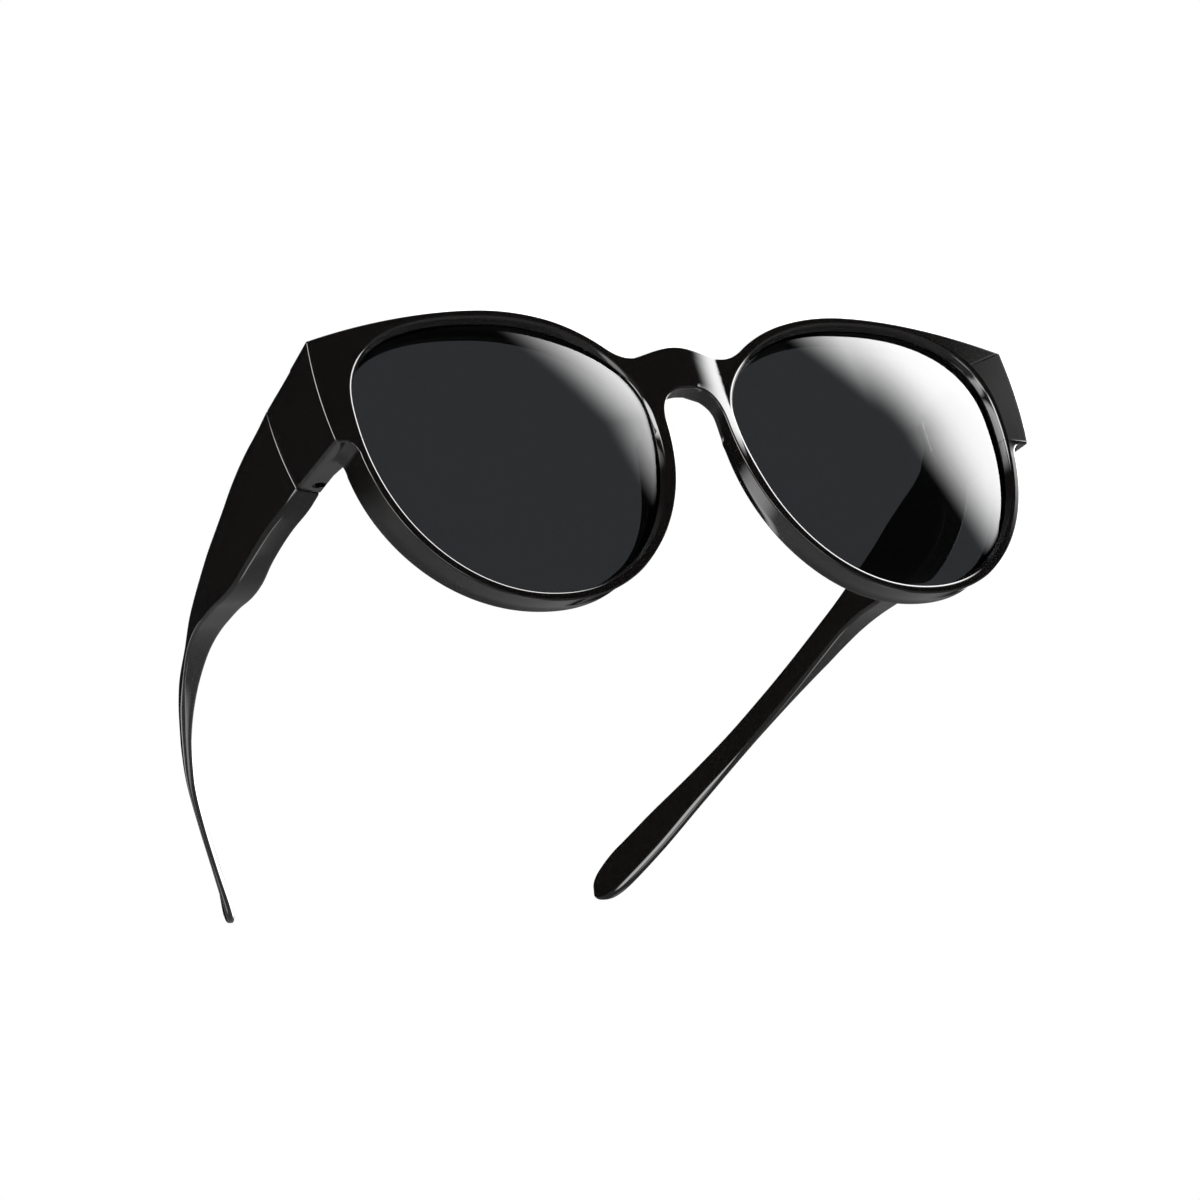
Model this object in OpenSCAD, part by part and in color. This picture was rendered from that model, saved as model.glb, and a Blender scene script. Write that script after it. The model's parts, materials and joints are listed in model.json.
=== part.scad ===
// Fitover sunglasses: a moulded front with two dark lenses, and two folding
// temples on metal hinges.
// x runs to the viewer's right, y from the front of the glasses to the back and
// z up from the level where the lenses are widest. Each piece is made on the +x
// side or across the middle. The whole pair is then tipped a little, so that
// the rims and the temple tips stand on z = 0.

/* [Lenses] */
// Width of a lens opening
lens_w = 59.8; // [56:0.2:63]
// Height of the opening above its widest level
lens_up = 20.3; // [18.5:0.1:22]
// Height of the opening below its widest level
lens_down = 36.2; // [33:0.1:39]
// Thickness of a lens
lens_t = 1.8; // [1.2:0.1:2.2]
// Depth of the lens face behind the front edge of the rim
lens_recess = 2.6; // [2:0.1:3.2]

/* [Front] */
// Gap between the two lens openings
bridge_gap = 16.8; // [15:0.2:20]
// Radius of the gentle wrap of the front, seen from above
front_r = 1430; // [900:10:2500]
// Width of the rim seen from the front
rim_w = 1.6; // [1.4:0.1:2.2]
// Width of the rim beside the nose
nose_w = 2.1; // [1.8:0.1:2.6]
// Depth of the rim under the lens
rim_d = 6.6; // [6:0.1:8]
// Depth of the rim at the brow and at the outer side
brow_d = 7.8; // [7:0.1:9]
// Depth of the rim beside the nose
nose_d = 9; // [8:0.1:10.5]
// How far the back of the nose side flares away from the nose
nose_flare = 4.4; // [3:0.1:5]
// Depth of the bridge
bridge_d = 4; // [3.4:0.1:5]
// Height of the middle of the bridge
bridge_h = 8.8; // [7:0.1:10]
// Level of the top of the bridge
bridge_top = 14.4; // [13.8:0.1:15]
// Level of the valley between bridge and rim
valley_z = 12.1; // [11.5:0.1:12.6]
// Rounding of the moulded edges
edge_r = 0.45; // [0.3:0.05:0.6]

/* [End pieces] */
// How far the top corner reaches outside the lens opening
end_reach = 5.8; // [5:0.1:7.5]
// Level of the top corner
end_top = 14.9; // [13.5:0.1:16]
// Height of the outer face at the front
end_h = 20; // [18:0.1:22]
// Height of the outer face at the seam
seam_h = 17.2; // [15.5:0.1:18.5]
// Fall of the top edge from the corner to the seam
end_fall = 0.5; // [0:0.1:1]
// Draw-in of the outer face from the corner to the seam
end_draw = 0.8; // [0.4:0.1:1.4]
// Wall of the end piece
end_t = 5.3; // [5:0.1:6]
// Depth from the front to the seam, at its outer lower corner
seam_y = 22; // [20:0.5:25]
// How much further back the seam lies on the inner face
seam_back = 1.6; // [1.2:0.1:1.8]
// How much further back the seam lies at its top
seam_rake = 1.8; // [0:0.1:2]
// Crown of the outer face
end_crown = 0.6; // [0:0.1:0.9]

/* [Temples] */
// Length of a temple from the seam to the tip
temple_len = 125.3; // [110:0.1:135]
// Running gap at the seam
seam_gap = 0.15; // [0.1:0.05:0.3]
// Outward bow behind the seam
temple_bow = 5.1; // [3.5:0.1:6]
// How far the tip curves in from the seam
temple_sweep = 28.6; // [20:0.1:32]
// How far the tip drops below the middle of the seam
temple_drop = 34.6; // [30:0.1:38]
// Height of the slim middle stretch
shaft_h = 6.1; // [5:0.1:7]
// Height of the paddle at the tip
paddle_h = 9.2; // [8:0.1:11]
// Thickness of the slim stretch
shaft_t = 2; // [1.7:0.1:2.6]
// Width of the bevel under the outer edge behind the middle
temple_bevel = 1.6; // [0.9:0.1:2]

/* [Hinges] */
// Distance of the pin inside the inner face of the end piece
pin_in = 1.5; // [1.2:0.1:2]
// Distance of the pin in front of the seam
pin_ahead = 4.3; // [4:0.1:5]
// Diameter of the hinge knuckles
knuckle_d = 3.2; // [2.8:0.1:3.4]
// Height of one knuckle
knuckle_h = 2.6; // [2.2:0.1:3]
// Gap between two knuckles
knuckle_gap = 0.06; // [0.04:0.01:0.1]
// Thickness of the hinge leaves
leaf_t = 1.1; // [0.9:0.1:1.4]
// Length of a hinge leaf past the pin
leaf_len = 10; // [8:0.5:12]
// Diameter of the screw
screw_d = 1.4; // [1.2:0.1:1.6]
// Diameter of the screw head
screw_head_d = 2.4; // [2:0.1:2.6]
// Thickness of the screw head
screw_head_h = 0.8; // [0.6:0.1:1]
// Radial clearance of the screw in the knuckle that turns on it
screw_fit = 0.04; // [0.02:0.01:0.08]
// Clearance between a leaf and its pocket
pocket_fit = 0.05; // [0.03:0.01:0.1]

/* [Hidden] */

// Degrees in a full turn
turn = 360;
// Overrun of every cut
cut = 0.5;
// Space round the hinge knuckles in the end piece
pin_play = 0.3;
// Clearance of a lens in its groove
lens_fit = 0.08;
// Depth of the groove outside the opening
groove_in = 0.05;
// How far the front lip covers the lens
lip_front = 0.75;
// How far the rear lip covers the lens
lip_back = 0.9;
// Wall behind the lens
back_wall = 1.7;
// Wall that stays outside the groove
groove_wall = 1;
// How far the outer wall is drawn in at its back, under the lens
rim_inset = 1.2;
// How far it is drawn in at the brow
brow_inset = 0.5;

// Shape exponents of the four quarters of a lens: brow outside, brow inside,
// cheek inside and cheek outside
lens_shape_shares = [2.5, 2, 2.1, 2.1];
// Shape exponent of the brow line and of the nose arch
brow_shape_share = 1.8;
arch_shape_share = 2.5;

lens_x = (bridge_gap + lens_w) / 2;
end_x = lens_x + lens_w / 2 + end_reach;
lens_back = lens_recess + lens_t;
seam_x = end_x - end_draw;

// Depth of the wrapped front surface at x
function front_y(x) = x * x / (2 * front_r);
function mix(a, b, u) = a + (b - a) * u;
function ease(u) = let (v = min(1, max(0, u))) v * v * (3 - 2 * v);
// Rises from 0 to 1 between two angles
function rise(a, a0, a1) = ease((a - a0) / (a1 - a0));

// A lens opening is four quarters of superellipses round the widest level
function quarter_n(a) = sin(a) >= 0 ? (cos(a) >= 0 ? lens_shape_shares[0] : lens_shape_shares[1])
                                    : (cos(a) < 0 ? lens_shape_shares[2] : lens_shape_shares[3]);
function lens_b(a) = sin(a) >= 0 ? lens_up : lens_down;
function lens_r(a) = let (n = quarter_n(a))
    pow(pow(abs(cos(a)) / (lens_w / 2), n) + pow(abs(sin(a)) / lens_b(a), n), -1 / n);
function opening(a) = [lens_x + lens_r(a) * cos(a), lens_r(a) * sin(a)];
// Outward normal of the opening at a polar angle
function opening_n(a) =
    let (n = quarter_n(a), r = lens_r(a), x = r * cos(a), z = r * sin(a),
         gx = sign(x) * pow(abs(x) / (lens_w / 2), n - 1) / (lens_w / 2),
         gz = sign(z) * pow(abs(z) / lens_b(a), n - 1) / lens_b(a))
    [gx, gz] / norm([gx, gz]);
function opening_off(a, s) = opening(a) + s * opening_n(a);

// Where the rim changes, as angles round the lens from its outer side: the
// brow ends, the nose side begins, is full, fades and ends, and the stretch
// under the lens turns into the outer side
brow_until = 150;
nose_from = 180;
nose_full = 188;
nose_fade = 196;
nose_end = 240;
nose_blend = 20;
side_from = 270;
side_full = 340;
function nose_part(a) = rise(a, nose_from, nose_full) * (1 - rise(a, nose_fade, nose_end));
function side_part(a) = rise(a, side_from, side_full);
// Face width, wall depth and draft of the rim
function face_w(a) =
    mix(rim_w, nose_w, rise(a, nose_from - nose_blend, nose_from) * (1 - rise(a, nose_fade, nose_end)));
function wall_d(a) =
    a < nose_from ? mix(brow_d, rim_d, rise(a, brow_until, nose_from))
                  : mix(mix(rim_d, brow_d, side_part(a)), nose_d, nose_part(a));
function draft(a) =
    a < nose_from ? brow_inset : mix(mix(rim_inset, brow_inset, side_part(a)), nose_flare, nose_part(a));

// One closed section of the rim. The outer half runs back from the outline
// point o, whose normal is n. The inner half runs forward again along the lens
// opening at angle a, with the groove of the lens and its two lips.
function outer_part(o, n, d, dr) =
    let (y0 = front_y(o[0]), r = edge_r, k = r * (1 - cos(45)), m = min(dr, nose_w - groove_wall))
    [for (q = [[r, 0], [k, k], [0, r], [m, min(lens_back + r, d - 2 * r)],
               [dr, d - r], [dr + k, d - k], [dr + r, d]])
        [o[0] - n[0] * q[0], y0 + q[1], o[1] - n[1] * q[0]]];
function inner_part(a, d, back) =
    let (n = opening_n(a), p = opening(a), r = edge_r, rear = lens_back + lens_fit, front = lens_recess - lens_fit)
    [for (q = [[back, d], [-lip_back, rear], [groove_in, rear],
               [groove_in, front], [-lip_front, front], [0, r], [r, 0]])
        [p[0] + n[0] * q[0], front_y(p[0]) + q[1], p[1] + n[1] * q[0]]];
function section(a, o, n, d, dr) =
    let (back = min(-lip_back, face_w(a) - dr - back_wall - edge_r))
    concat(outer_part(o, n, d, dr), inner_part(a, max(d, rim_d), back));

// Outline of half the front, from the outer corner over the brow, the bridge,
// the nose and under the lens back to the end piece
brow_steps = 22;
corner_a = atan2(end_top, end_x - edge_r - lens_x);
rim_top = lens_up + rim_w;
brow_fall = rim_top - end_top - edge_r;
function brow_z(x) = rim_top - brow_fall * pow(abs(x - lens_x) / (end_x - lens_x), brow_shape_share);
function brow_row(i) =
    let (x = mix(end_x - edge_r, lens_x, i / brow_steps), z = brow_z(x), h = edge_r / 2,
         t = [-h, brow_z(x - h) - brow_z(x)], n = [t[1], -t[0]] / norm(t))
    section(atan2(z, x - lens_x), [x, z], [abs(n[0]), abs(n[1])], brow_d, brow_inset);
valley_a = 157;
rim_step = 3.35;
function rim_row(a) = section(a, opening_off(a, face_w(a)), opening_n(a), wall_d(a), draft(a));
valley_x = opening_off(valley_a, rim_w)[0];
bridge_steps = 6;
bridge_end_a = 165;
function bridge_row(i) =
    let (u = i / bridge_steps, x = mix(valley_x, 0, u), z = mix(valley_z, bridge_top, ease(u)),
         d = mix(wall_d(valley_a), bridge_d, ease(3 * u)))
    section(mix(valley_a, bridge_end_a, u), [x, z], [0, 1], d, brow_inset * (1 - u));
arch_a = 170;
arch_steps = 7;
arch_end_a = 184;
arch_top = bridge_top - bridge_h;
arch_end = opening_off(arch_end_a, face_w(arch_end_a));
function arch_row(i) =
    let (u = i / arch_steps, t = 90 * u, n = 2 / arch_shape_share, a = mix(arch_a, arch_end_a, u),
         x = arch_end[0] * pow(sin(t), n), z = mix(arch_end[1], arch_top, pow(cos(t), n)),
         d = mix(bridge_d, wall_d(a), rise(a, nose_from, nose_full)))
    section(a, [x, z], [-sin(t), -cos(t)], d, draft(a) * u * nose_part(a));
// The outer halves on the middle plane lie between those at the top and at the
// bottom of the bridge
middle_steps = 4;
function middle_row(i) =
    let (u = i / middle_steps, top = bridge_row(bridge_steps), low = arch_row(0),
         s = section(mix(bridge_end_a, arch_a, u), [0, mix(bridge_top, arch_top, u)], [0, 1], bridge_d, 0))
    [for (k = [0 : len(s) - 1]) k < len(s) / 2 ? mix(top[k], low[k], u) : s[k]];
heel_a = 345;
heel_steps = 5;
heel_in = end_reach - groove_wall;
end_low = end_top - end_h;
heel = opening_off(heel_a, rim_w);
// The end piece's lower edge runs out of the rim in a concave quarter
function heel_row(i) =
    let (u = i / heel_steps, t = 90 * u, a = mix(heel_a, turn + atan2(end_low, end_x - lens_x), u),
         x = mix(heel[0], end_x - heel_in / 2, 1 - cos(t)), z = mix(heel[1], end_low + edge_r, sin(t)))
    section(a, [x, z], [cos(t), -sin(t)], brow_d, brow_inset);
side_steps = 6;
function side_row(i) =
    let (u = i / side_steps, z = mix(end_low + edge_r, end_top, u), x = end_x - 2 * edge_r)
    section(turn + atan2(z, x - lens_x), [x, z], [1, 0], brow_d, brow_inset);

front_rows = concat(
    [for (i = [0 : brow_steps - 1]) brow_row(i)],
    [for (a = [90 : rim_step : valley_a - 1]) rim_row(a)],
    [for (i = [0 : bridge_steps]) bridge_row(i)],
    [for (i = [1 : middle_steps - 1]) middle_row(i)],
    [for (i = [0 : arch_steps]) arch_row(i)],
    [for (a = [arch_end_a + rim_step : rim_step : heel_a - 1]) rim_row(a)],
    [for (i = [0 : heel_steps]) heel_row(i)],
    [for (i = [1 : side_steps - 1]) side_row(i)]);

// Closed band of sections whose last section meets the first
module ring_band(rows) {
    m = len(rows[0]);
    n = len(rows);
    polyhedron(
        points = [for (row = rows) for (p = row) p],
        faces = [for (i = [0 : n - 1]) for (j = [0 : m - 1])
            let (k = (i + 1) % n, l = (j + 1) % m, a = i * m + j, b = i * m + l, c = k * m + l, d = k * m + j)
            each [[a, c, b], [a, d, c]]]);
}

// Solid through a row of closed sections
module loft(rows) {
    m = len(rows[0]);
    n = len(rows);
    polyhedron(
        points = [for (row = rows) for (p = row) p],
        faces = concat(
            [[for (j = [m - 1 : -1 : 0]) j]],
            [for (i = [0 : n - 2]) for (j = [0 : m - 1])
                let (l = (j + 1) % m, a = i * m + j, b = i * m + l, c = (i + 1) * m + l, d = (i + 1) * m + j)
                each [[a, b, c], [a, c, d]]],
            [[for (j = [0 : m - 1]) (n - 1) * m + j]]));
}

// Rounded four-sided section in x and z, from the lower outer corner round:
// x from xi to xo, z from z0 to z1, with the outer side crowned. The top is
// moved outwards by lean on the outer side and by lean_in on the inner side,
// and the lower outer corner may be a wider bevel.
corner_steps = 3;
crown_steps = 4;
function block_section(xi, xo, z0, z1, r, lean, lean_in, crown = 0, bevel = 0) =
    let (h = z1 - z0, bx = max(r, bevel), bz = min(max(r, 2 * bevel), h / 2),
         corners = [[xo - bx, z0 + bz, -90, bx, bz], [xo - r, z1 - r, 0, r, r],
                    [xi + r, z1 - r, 90, r, r], [xi + r, z0 + r, 180, r, r]],
         side = [for (k = [1 : crown_steps - 1]) let (u = k / crown_steps, z = mix(z0 + bz, z1 - r, u))
             [xo + crown * (1 - pow(2 * u - 1, 2)), z]],
         points = [for (c = [0 : len(corners) - 1]) each concat(
             [for (k = [0 : corner_steps]) let (q = corners[c], t = q[2] + 90 * k / corner_steps)
                 [q[0] + q[3] * cos(t), q[1] + q[4] * sin(t)]],
             c == 0 ? side : [])])
    [for (p = points) [p[0] + mix(lean, lean_in, min(1, (xo - p[0]) / (xo - xi))) * (p[1] - z0) / h, p[1]]];

// The end piece runs back from the front corner to the seam, and its wall
// spreads inwards in a gusset where it leaves the back of the rim
arm_r = 0.6;
lean_front = 0.6;
lean_seam = 1.4;
arm_skin = 0.05;
seam_top = end_top - end_fall;
seam_low = seam_top - seam_h;
// Places from the back of the rim to the seam, and how far the wall is
// thickened there
arm_shares = [0.07, 0.2, 0.36, 0.6, 1];
gusset_shares = [0, 0.15, 0.1, 0, 0];
arm_from = brow_d + edge_r;
arm_ys = concat([0, arm_from], [for (s = arm_shares) mix(arm_from, seam_y, s)]);
function seam_at(x, z) =
    seam_y + (seam_x - lean_seam - x) * seam_back / end_t + (z - seam_low) * seam_rake / seam_h;
function arm_row(k) =
    let (y = arm_ys[k], u = y / seam_y, lean = mix(lean_front, lean_seam, u), xo = mix(end_x, seam_x, u) - lean,
         xi = k < 2 ? max(xo - end_t / 2, opening(0)[0] + groove_wall) : xo - end_t * (1 + gusset_shares[k - 2]),
         z0 = mix(end_low, seam_low, u), z1 = mix(end_top, seam_top, u))
    [for (p = block_section(xi, xo, z0, z1, arm_r, lean, lean, end_crown))
        [p[0], k == 0 ? front_y(p[0]) + arm_skin : u == 1 ? seam_at(p[0], p[1]) : y, p[1]]];
hinge_z = (seam_top + seam_low) / 2;
inner_x = seam_x - lean_seam - end_t;
inner_y = seam_at(inner_x, hinge_z);
pin_x = inner_x - pin_in;
pin_y = inner_y - pin_ahead;
hinge_h = 3 * knuckle_h + 2 * knuckle_gap;

module end_arm() {
    loft([for (k = [0 : len(arm_ys) - 1]) arm_row(k)]);
}

// Space that the knuckles, the front leaf and the root of the temple leaf take
// out of the end piece
module hinge_pocket() {
    translate([pin_x, pin_y, hinge_z - hinge_h / 2 - screw_head_h - cut])
        cylinder(d = knuckle_d + 2 * pin_play, h = hinge_h + screw_head_h + 2 * cut, $fn = 48);
    translate([inner_x - cut, pin_y - leaf_len - pocket_fit, hinge_z - hinge_h / 2 - pocket_fit])
        cube([cut + leaf_t + pocket_fit, leaf_len + pin_ahead + seam_back, hinge_h + 2 * pocket_fit]);
}

// Keyhole-shaped recess in the underside of the end piece
recess_d = 1.9;
recess_depth = 2.2;
recess_slot = 1.25;
module underside_recess() {
    translate([seam_x - lean_seam - (end_t + recess_d) / 2, pin_y, seam_low - cut]) {
        cylinder(d = recess_d, h = recess_depth + cut, $fn = 32);
        translate([-end_t, -recess_slot / 2, 0])
            cube([end_t, recess_slot, recess_depth]);
    }
}

module both_sides() {
    children();
    mirror([1, 0, 0]) children();
}

module half_front() {
    difference() {
        union() {
            ring_band(front_rows);
            end_arm();
        }
        hinge_pocket();
        underside_recess();
    }
}

// The lens is a curved sheet cut to the outline of the groove
lens_edge = groove_in - lens_fit;
lens_steps = 90;
module lens_right_shape() {
    intersection() {
        rotate([90, 0, 0]) translate([0, 0, -lens_back - front_y(end_x)])
            linear_extrude(lens_back + front_y(end_x))
                polygon([for (i = [0 : lens_steps - 1]) opening_off(turn * i / lens_steps, lens_edge)]);
        translate([0, front_r, -lens_down - cut]) difference() {
            cylinder(r = front_r - lens_recess, h = lens_up + lens_down + 2 * cut, $fn = 720);
            translate([0, 0, -cut])
                cylinder(r = front_r - lens_back, h = lens_up + lens_down + 4 * cut, $fn = 720);
        }
    }
}

// Sections of a temple. Each has its share of the length, the bow, the sweep and
// the drop; the shares of the way from shaft to seam in height, from shaft to
// paddle in height and from shaft to seam in thickness; the outer and the inner
// lean and the bevel; and how far the tip is still open.
temple_shares = [
    [0, 0, 0, 0, 1, 0, 1, 1, 1, 0, 1],
    [0.04, 0.39, 0, 0.07, 0.985, 0, 1.08, 0.57, 1.42, 0, 1],
    [0.065, 0.59, 0, 0.1, 0.964, 0, 1.06, 0.25, 1.6, 0, 1],
    [0.13, 0.88, 0, 0.168, 0.937, 0, 1.06, -0.5, 1.55, 0, 1],
    [0.186, 0.97, 0, 0.211, 0.865, 0, 1.27, -1.05, 1.25, 0, 1],
    [0.226, 1, 0, 0.228, 0.73, 0, 1.36, -1.3, 1.1, 0, 1],
    [0.266, 1, 0, 0.236, 0.55, 0, 1.31, -1.48, 0.95, 0, 1],
    [0.307, 0.94, 0, 0.246, 0.378, 0, 1.27, -1.6, 0.85, 0, 1],
    [0.347, 0.84, 0, 0.256, 0.225, 0, 1.21, -1.65, 0.8, 0.06, 1],
    [0.402, 0.7, 0.015, 0.281, 0.09, 0, 1, -1.55, 0.72, 0.2, 1],
    [0.4625, 0.5, 0.037, 0.325, 0.036, 0, 0.73, -1.55, 0.5, 0.45, 1],
    [0.543, 0.3, 0.088, 0.398, 0.01, 0, 0.485, -1.15, 0.27, 1, 1],
    [0.624, 0.15, 0.191, 0.483, 0, 0, 0.18, -0.75, 0.27, 0.85, 1],
    [0.7035, 0.05, 0.32, 0.581, 0, 0.065, 0.03, -0.35, 0.43, 0.55, 1],
    [0.784, 0, 0.5, 0.707, 0, 0.355, -0.03, 0, 0.36, 0.37, 1],
    [0.865, 0, 0.7, 0.838, 0, 0.84, -0.03, 0, 0.43, 0.3, 1],
    [0.935, 0, 0.867, 0.944, 0, 0.9, 0.06, 0, 0.57, 0.3, 0.97],
    [0.9685, 0, 0.94, 0.982, 0, 0.95, 0.09, 0.07, 0.6, 0.3, 0.8],
    [0.9885, 0, 0.98, 0.993, 0, 1, 0.09, 0.1, 0.5, 0.25, 0.5],
    [1, 0, 1, 1, 0, 1, 0.09, 0.1, 0.3, 0.2, 0.18]];
temple_r = 0.9;
function temple_y(q) = seam_y + seam_gap + temple_len * q[0];
function temple_xo(q) = seam_x - lean_seam + temple_bow * q[1] - temple_sweep * q[2];
function temple_t(q) = mix(shaft_t, end_t, q[6]) * sqrt(q[10]);
function temple_h(q) = (shaft_h + (seam_h - shaft_h) * q[4] + (paddle_h - shaft_h) * q[5]) * q[10];
function temple_row(q) =
    let (xo = temple_xo(q), t = temple_t(q), h = temple_h(q), zc = hinge_z - temple_drop * q[3],
         r = min(q[0] == 0 ? arm_r : temple_r, t / 3, h / 3),
         s = block_section(xo - t, xo, zc - h / 2, zc + h / 2, r, lean_seam * q[7], lean_seam * q[8],
                           end_crown * max(0, q[4] * 2 - 1), min(temple_bevel * q[9], t / 2)))
    [for (p = s) [p[0], q[0] == 0 ? seam_at(p[0], p[1]) + seam_gap : temple_y(q), p[1]]];
temple_rows = [for (q = temple_shares) temple_row(q)];

// The temple leaf is bent outwards where it enters the temple, along the inner
// face of its first stretch
bend_q = temple_shares[2];
leaf_bend = atan2(temple_xo(bend_q) - temple_t(bend_q) - inner_x, temple_y(bend_q) - inner_y);
// Plate from the pin's level back past the seam, thicker by fit on each face
// and longer by ahead at its front end
module bent_leaf(fit, ahead) {
    translate([inner_x - ahead, pin_y - ahead, hinge_z - knuckle_h / 2 - fit])
        cube([leaf_t + fit + ahead, pin_ahead + ahead, knuckle_h + 2 * fit]);
    translate([inner_x, inner_y, hinge_z - knuckle_h / 2 - fit]) rotate([0, 0, -leaf_bend])
        translate([-ahead, -leaf_t * sin(leaf_bend), 0])
            cube([leaf_t + fit + ahead, leaf_len + fit, knuckle_h + 2 * fit]);
}

module temple_body() {
    difference() {
        loft(temple_rows);
        bent_leaf(pocket_fit, cut);
    }
}

// Leaf and two knuckles on the front side
module front_leaf() {
    translate([inner_x, pin_y - leaf_len, hinge_z - hinge_h / 2])
        cube([leaf_t, leaf_len - knuckle_d / 2 - pin_play, hinge_h]);
    for (s = [-1, 1]) translate([pin_x, pin_y, hinge_z + s * (knuckle_h + knuckle_gap) - knuckle_h / 2])
        difference() {
            union() {
                cylinder(d = knuckle_d, h = knuckle_h, $fn = 48);
                translate([0, -knuckle_d / 2, 0]) cube([pin_in + leaf_t, knuckle_d / 2, knuckle_h]);
                translate([pin_in, -leaf_len, 0]) cube([leaf_t, leaf_len, knuckle_h]);
            }
            pin_bore();
        }
}

// Leaf and middle knuckle on the temple side
module temple_leaf() {
    bent_leaf(0, 0);
    translate([pin_x, pin_y, hinge_z - knuckle_h / 2]) difference() {
        union() {
            cylinder(d = knuckle_d, h = knuckle_h, $fn = 48);
            cube([pin_in + leaf_t, knuckle_d / 2, knuckle_h]);
        }
        pin_bore();
    }
}

module pin_bore() {
    translate([0, 0, -cut]) cylinder(d = screw_d + 2 * screw_fit, h = knuckle_h + 2 * cut, $fn = 32);
}

// Screw up through the three knuckles, its slotted head below
slot_w = 0.35;
module hinge_screw() {
    translate([pin_x, pin_y, hinge_z - hinge_h / 2 - screw_head_h]) difference() {
        union() {
            cylinder(d = screw_head_d, h = screw_head_h, $fn = 48);
            cylinder(d = screw_d, h = screw_head_h + hinge_h, $fn = 32);
        }
        translate([-screw_head_d / 2 - cut, -slot_w / 2, -cut])
            cube([screw_head_d + 2 * cut, slot_w, cut + screw_head_h / 2]);
    }
}

// The pair stands on the rims and on the temple tips: the surface is the
// steepest line under the front that still passes under a temple
under_front = [for (row = front_rows) for (p = row) if (p[2] < -lens_down) [p[1], p[2]]];
under_temple = [for (row = temple_rows) for (p = row) [p[1], p[2]]];
rest_tilt = atan(min([for (b = under_temple) max([for (a = under_front) (b[1] - a[1]) / (b[0] - a[0])])]));
function back_at(p) = p[0] * cos(rest_tilt) + p[1] * sin(rest_tilt);
function level_at(p) = p[1] * cos(rest_tilt) - p[0] * sin(rest_tilt);
front_end = min([for (p = under_front) back_at(p)]);
back_end = max([for (p = under_temple) back_at(p)]);
ground = min([for (p = under_front) level_at(p)]);
module standing() {
    translate([0, -(front_end + back_end) / 2, -ground]) rotate([-rest_tilt, 0, 0]) children();
}

module front_frame() {
    color([0.03, 0.03, 0.035]) standing() both_sides() half_front();
}
module lens_right() {
    color([0.16, 0.17, 0.18]) standing() lens_right_shape();
}
module lens_left() {
    color([0.16, 0.17, 0.18]) standing() mirror([1, 0, 0]) lens_right_shape();
}
module temple_right() {
    color([0.03, 0.03, 0.035]) standing() temple_body();
}
module temple_left() {
    color([0.03, 0.03, 0.035]) standing() mirror([1, 0, 0]) temple_body();
}
module front_hinge_right() {
    color([0.7, 0.7, 0.72]) standing() front_leaf();
}
module front_hinge_left() {
    color([0.7, 0.7, 0.72]) standing() mirror([1, 0, 0]) front_leaf();
}
module temple_hinge_right() {
    color([0.7, 0.7, 0.72]) standing() temple_leaf();
}
module temple_hinge_left() {
    color([0.7, 0.7, 0.72]) standing() mirror([1, 0, 0]) temple_leaf();
}
module hinge_screw_right() {
    color([0.6, 0.6, 0.62]) standing() hinge_screw();
}
module hinge_screw_left() {
    color([0.6, 0.6, 0.62]) standing() mirror([1, 0, 0]) hinge_screw();
}

front_frame();
lens_left();
lens_right();
temple_left();
temple_right();
front_hinge_left();
front_hinge_right();
temple_hinge_left();
temple_hinge_right();
hinge_screw_left();
hinge_screw_right();
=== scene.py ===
import json
import math

import bmesh
import bpy
import numpy as np
from mathutils import Matrix, Vector


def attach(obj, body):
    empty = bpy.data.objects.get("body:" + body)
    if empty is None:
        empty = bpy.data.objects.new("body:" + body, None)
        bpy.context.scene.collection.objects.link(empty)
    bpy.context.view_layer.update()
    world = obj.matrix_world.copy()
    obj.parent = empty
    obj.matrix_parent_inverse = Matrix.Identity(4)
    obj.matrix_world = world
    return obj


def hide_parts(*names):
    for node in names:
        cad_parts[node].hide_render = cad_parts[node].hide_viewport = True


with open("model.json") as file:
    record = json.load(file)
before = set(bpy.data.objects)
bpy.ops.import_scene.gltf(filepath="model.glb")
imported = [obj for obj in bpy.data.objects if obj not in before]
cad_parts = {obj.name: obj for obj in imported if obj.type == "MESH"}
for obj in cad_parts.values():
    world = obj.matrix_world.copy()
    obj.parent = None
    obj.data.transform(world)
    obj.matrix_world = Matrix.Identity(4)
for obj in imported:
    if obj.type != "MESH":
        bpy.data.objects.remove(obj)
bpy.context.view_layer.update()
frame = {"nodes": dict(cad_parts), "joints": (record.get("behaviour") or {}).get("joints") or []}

# The front: one injection moulding in glossy black plastic, with two deep rims, the bridge and
# the nose sides. Its sizes are in millimetres, in the maker's upright position: x across, y
# back from the face, and z up from the widest level of the lenses.
lens_w, lens_up, lens_down = 59.8, 20.3, 36.2
lens_recess, lens_t, lens_fit = 1.7, 1.8, 0.08
bridge_gap, front_r = 16.8, 1430
rim_w, nose_w = 1.6, 2.1
rim_d, brow_d, nose_d, bridge_d = 6.6, 7.8, 7.4, 4.0
rim_inset, brow_inset, end_inset, nose_flare = 1.2, 0.5, 0.82, 2.4
bridge_h, bridge_top, valley_z, bridge_ramp = 8.8, 14.4, 12.1, 1 / 3
end_reach, end_top, end_h, end_crown, lean_front = 5.8, 14.9, 20.0, 0.6, 0.6
edge_r, arm_r = 0.45, 0.6
groove_in, groove_wall, lip_front, lip_back = 0.05, 1.0, 0.75, 0.9
back_wall, flare_from = 1.7, 4.85
lens_back = lens_recess + lens_t
lens_x = (bridge_gap + lens_w) / 2
end_x = lens_x + lens_w / 2 + end_reach
end_low = end_top - end_h
rim_top = lens_up + rim_w
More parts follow.
